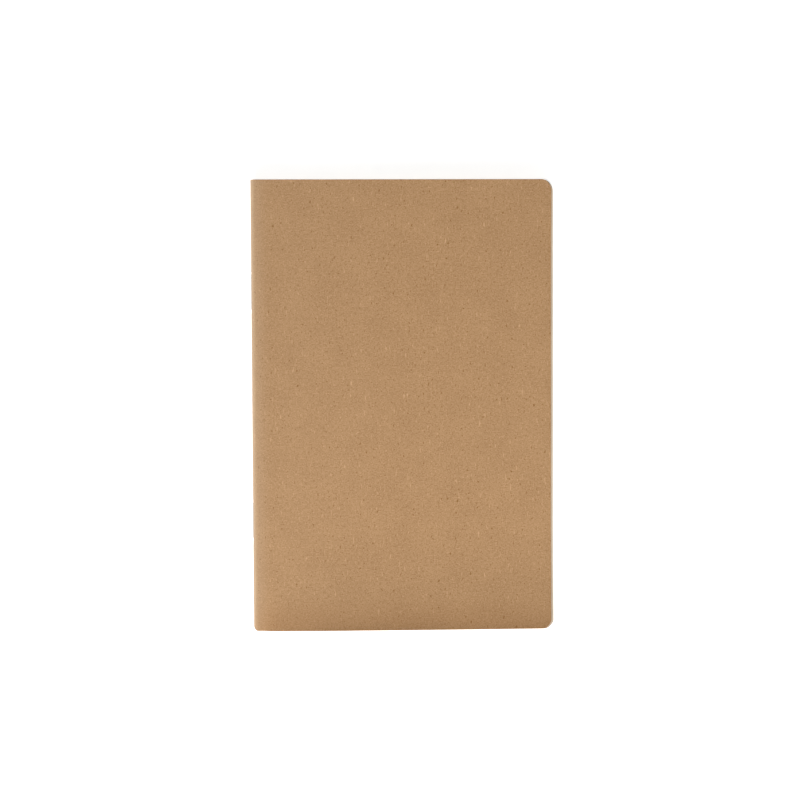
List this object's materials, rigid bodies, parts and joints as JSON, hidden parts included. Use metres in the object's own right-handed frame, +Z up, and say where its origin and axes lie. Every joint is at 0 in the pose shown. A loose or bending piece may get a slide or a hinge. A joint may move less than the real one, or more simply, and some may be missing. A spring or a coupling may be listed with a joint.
{
  "type": "pocket notebook",
  "caption": "Stapled pocket notebook with a plain kraft board cover, rounded fore-edge corners and blank cream leaves; its covers and leaves turn on the spine.",
  "frame": {"origin": "middle of the closed notebook's footprint, at the height of the surface that it lies on", "axes": "+Z up through the thickness, from the rear cover to the front cover; +X from the spine to the fore edge; +Y along the spine, from the tail to the head"},
  "size_m": [0.1, 0.15, 0.004],
  "materials": {
    "kraft_board": "uncoated recycled kraft board, matte, with short fibres and flecks",
    "cream_paper": "uncoated cream writing paper, matte",
    "staple_wire": "galvanised steel wire, satin"
  },
  "bodies": {
    "rear_cover": {"rear_cover": "kraft_board"},
    "spine": {"cover_spine": "kraft_board", "staple_upper": "staple_wire", "staple_lower": "staple_wire", "sheet_01_fold": "cream_paper", "sheet_02_fold": "cream_paper", "sheet_03_fold": "cream_paper", "sheet_04_fold": "cream_paper", "sheet_05_fold": "cream_paper", "sheet_06_fold": "cream_paper", "sheet_07_fold": "cream_paper", "sheet_08_fold": "cream_paper", "sheet_09_fold": "cream_paper", "sheet_10_fold": "cream_paper", "sheet_11_fold": "cream_paper", "sheet_12_fold": "cream_paper"},
    "front_cover": {"front_cover": "kraft_board"},
    "leaf_01_front": {"sheet_01_front_leaf": "cream_paper"},
    "leaf_01_rear": {"sheet_01_rear_leaf": "cream_paper"},
    "leaf_02_front": {"sheet_02_front_leaf": "cream_paper"},
    "leaf_02_rear": {"sheet_02_rear_leaf": "cream_paper"},
    "leaf_03_front": {"sheet_03_front_leaf": "cream_paper"},
    "leaf_03_rear": {"sheet_03_rear_leaf": "cream_paper"},
    "leaf_04_front": {"sheet_04_front_leaf": "cream_paper"},
    "leaf_04_rear": {"sheet_04_rear_leaf": "cream_paper"},
    "leaf_05_front": {"sheet_05_front_leaf": "cream_paper"},
    "leaf_05_rear": {"sheet_05_rear_leaf": "cream_paper"},
    "leaf_06_front": {"sheet_06_front_leaf": "cream_paper"},
    "leaf_06_rear": {"sheet_06_rear_leaf": "cream_paper"},
    "leaf_07_front": {"sheet_07_front_leaf": "cream_paper"},
    "leaf_07_rear": {"sheet_07_rear_leaf": "cream_paper"},
    "leaf_08_front": {"sheet_08_front_leaf": "cream_paper"},
    "leaf_08_rear": {"sheet_08_rear_leaf": "cream_paper"},
    "leaf_09_front": {"sheet_09_front_leaf": "cream_paper"},
    "leaf_09_rear": {"sheet_09_rear_leaf": "cream_paper"},
    "leaf_10_front": {"sheet_10_front_leaf": "cream_paper"},
    "leaf_10_rear": {"sheet_10_rear_leaf": "cream_paper"},
    "leaf_11_front": {"sheet_11_front_leaf": "cream_paper"},
    "leaf_11_rear": {"sheet_11_rear_leaf": "cream_paper"},
    "leaf_12_front": {"sheet_12_front_leaf": "cream_paper"},
    "leaf_12_rear": {"sheet_12_rear_leaf": "cream_paper"}
  },
  "joints": [
    {"name": "spine_hinge", "type": "hinge", "parent": "rear_cover", "child": "spine", "pos_m": [-0.04794, 0, 0.002], "axis": [0, -1, 0], "range_deg": [0, 90]},
    {"name": "front_cover_hinge", "type": "hinge", "parent": "spine", "child": "front_cover", "pos_m": [-0.04794, 0, 0.002], "axis": [0, -1, 0], "range_deg": [0, 90]},
    {"name": "leaf_01_front_hinge", "type": "hinge", "parent": "spine", "child": "leaf_01_front", "pos_m": [-0.04794, 0, 0.002], "axis": [0, -1, 0], "range_deg": [0, 90]},
    {"name": "leaf_01_rear_hinge", "type": "hinge", "parent": "spine", "child": "leaf_01_rear", "pos_m": [-0.04794, 0, 0.002], "axis": [0, -1, 0], "range_deg": [-90, 0]},
    {"name": "leaf_02_front_hinge", "type": "hinge", "parent": "spine", "child": "leaf_02_front", "pos_m": [-0.04794, 0, 0.002], "axis": [0, -1, 0], "range_deg": [0, 90]},
    {"name": "leaf_02_rear_hinge", "type": "hinge", "parent": "spine", "child": "leaf_02_rear", "pos_m": [-0.04794, 0, 0.002], "axis": [0, -1, 0], "range_deg": [-90, 0]},
    {"name": "leaf_03_front_hinge", "type": "hinge", "parent": "spine", "child": "leaf_03_front", "pos_m": [-0.04794, 0, 0.002], "axis": [0, -1, 0], "range_deg": [0, 90]},
    {"name": "leaf_03_rear_hinge", "type": "hinge", "parent": "spine", "child": "leaf_03_rear", "pos_m": [-0.04794, 0, 0.002], "axis": [0, -1, 0], "range_deg": [-90, 0]},
    {"name": "leaf_04_front_hinge", "type": "hinge", "parent": "spine", "child": "leaf_04_front", "pos_m": [-0.04794, 0, 0.002], "axis": [0, -1, 0], "range_deg": [0, 90]},
    {"name": "leaf_04_rear_hinge", "type": "hinge", "parent": "spine", "child": "leaf_04_rear", "pos_m": [-0.04794, 0, 0.002], "axis": [0, -1, 0], "range_deg": [-90, 0]},
    {"name": "leaf_05_front_hinge", "type": "hinge", "parent": "spine", "child": "leaf_05_front", "pos_m": [-0.04794, 0, 0.002], "axis": [0, -1, 0], "range_deg": [0, 90]},
    {"name": "leaf_05_rear_hinge", "type": "hinge", "parent": "spine", "child": "leaf_05_rear", "pos_m": [-0.04794, 0, 0.002], "axis": [0, -1, 0], "range_deg": [-90, 0]},
    {"name": "leaf_06_front_hinge", "type": "hinge", "parent": "spine", "child": "leaf_06_front", "pos_m": [-0.04794, 0, 0.002], "axis": [0, -1, 0], "range_deg": [0, 90]},
    {"name": "leaf_06_rear_hinge", "type": "hinge", "parent": "spine", "child": "leaf_06_rear", "pos_m": [-0.04794, 0, 0.002], "axis": [0, -1, 0], "range_deg": [-90, 0]},
    {"name": "leaf_07_front_hinge", "type": "hinge", "parent": "spine", "child": "leaf_07_front", "pos_m": [-0.04794, 0, 0.002], "axis": [0, -1, 0], "range_deg": [0, 90]},
    {"name": "leaf_07_rear_hinge", "type": "hinge", "parent": "spine", "child": "leaf_07_rear", "pos_m": [-0.04794, 0, 0.002], "axis": [0, -1, 0], "range_deg": [-90, 0]},
    {"name": "leaf_08_front_hinge", "type": "hinge", "parent": "spine", "child": "leaf_08_front", "pos_m": [-0.04794, 0, 0.002], "axis": [0, -1, 0], "range_deg": [0, 90]},
    {"name": "leaf_08_rear_hinge", "type": "hinge", "parent": "spine", "child": "leaf_08_rear", "pos_m": [-0.04794, 0, 0.002], "axis": [0, -1, 0], "range_deg": [-90, 0]},
    {"name": "leaf_09_front_hinge", "type": "hinge", "parent": "spine", "child": "leaf_09_front", "pos_m": [-0.04794, 0, 0.002], "axis": [0, -1, 0], "range_deg": [0, 90]},
    {"name": "leaf_09_rear_hinge", "type": "hinge", "parent": "spine", "child": "leaf_09_rear", "pos_m": [-0.04794, 0, 0.002], "axis": [0, -1, 0], "range_deg": [-90, 0]},
    {"name": "leaf_10_front_hinge", "type": "hinge", "parent": "spine", "child": "leaf_10_front", "pos_m": [-0.04794, 0, 0.002], "axis": [0, -1, 0], "range_deg": [0, 90]},
    {"name": "leaf_10_rear_hinge", "type": "hinge", "parent": "spine", "child": "leaf_10_rear", "pos_m": [-0.04794, 0, 0.002], "axis": [0, -1, 0], "range_deg": [-90, 0]},
    {"name": "leaf_11_front_hinge", "type": "hinge", "parent": "spine", "child": "leaf_11_front", "pos_m": [-0.04794, 0, 0.002], "axis": [0, -1, 0], "range_deg": [0, 90]},
    {"name": "leaf_11_rear_hinge", "type": "hinge", "parent": "spine", "child": "leaf_11_rear", "pos_m": [-0.04794, 0, 0.002], "axis": [0, -1, 0], "range_deg": [-90, 0]},
    {"name": "leaf_12_front_hinge", "type": "hinge", "parent": "spine", "child": "leaf_12_front", "pos_m": [-0.04794, 0, 0.002], "axis": [0, -1, 0], "range_deg": [0, 90]},
    {"name": "leaf_12_rear_hinge", "type": "hinge", "parent": "spine", "child": "leaf_12_rear", "pos_m": [-0.04794, 0, 0.002], "axis": [0, -1, 0], "range_deg": [-90, 0]}
  ],
  "couplings": [
    {"joint": "front_cover_hinge", "follows": "spine_hinge", "ratio": 1},
    {"joint": "leaf_01_front_hinge", "follows": "spine_hinge", "ratio": 0.98},
    {"joint": "leaf_01_rear_hinge", "follows": "spine_hinge", "ratio": -0.98},
    {"joint": "leaf_02_front_hinge", "follows": "spine_hinge", "ratio": 0.964},
    {"joint": "leaf_02_rear_hinge", "follows": "spine_hinge", "ratio": -0.964},
    {"joint": "leaf_03_front_hinge", "follows": "spine_hinge", "ratio": 0.948},
    {"joint": "leaf_03_rear_hinge", "follows": "spine_hinge", "ratio": -0.948},
    {"joint": "leaf_04_front_hinge", "follows": "spine_hinge", "ratio": 0.932},
    {"joint": "leaf_04_rear_hinge", "follows": "spine_hinge", "ratio": -0.932},
    {"joint": "leaf_05_front_hinge", "follows": "spine_hinge", "ratio": 0.916},
    {"joint": "leaf_05_rear_hinge", "follows": "spine_hinge", "ratio": -0.916},
    {"joint": "leaf_06_front_hinge", "follows": "spine_hinge", "ratio": 0.9},
    {"joint": "leaf_06_rear_hinge", "follows": "spine_hinge", "ratio": -0.9},
    {"joint": "leaf_07_front_hinge", "follows": "spine_hinge", "ratio": 0.884},
    {"joint": "leaf_07_rear_hinge", "follows": "spine_hinge", "ratio": -0.884},
    {"joint": "leaf_08_front_hinge", "follows": "spine_hinge", "ratio": 0.868},
    {"joint": "leaf_08_rear_hinge", "follows": "spine_hinge", "ratio": -0.868},
    {"joint": "leaf_09_front_hinge", "follows": "spine_hinge", "ratio": 0.852},
    {"joint": "leaf_09_rear_hinge", "follows": "spine_hinge", "ratio": -0.852},
    {"joint": "leaf_10_front_hinge", "follows": "spine_hinge", "ratio": 0.836},
    {"joint": "leaf_10_rear_hinge", "follows": "spine_hinge", "ratio": -0.836},
    {"joint": "leaf_11_front_hinge", "follows": "spine_hinge", "ratio": 0.82},
    {"joint": "leaf_11_rear_hinge", "follows": "spine_hinge", "ratio": -0.82},
    {"joint": "leaf_12_front_hinge", "follows": "spine_hinge", "ratio": 0.804},
    {"joint": "leaf_12_rear_hinge", "follows": "spine_hinge", "ratio": -0.804}
  ]
}
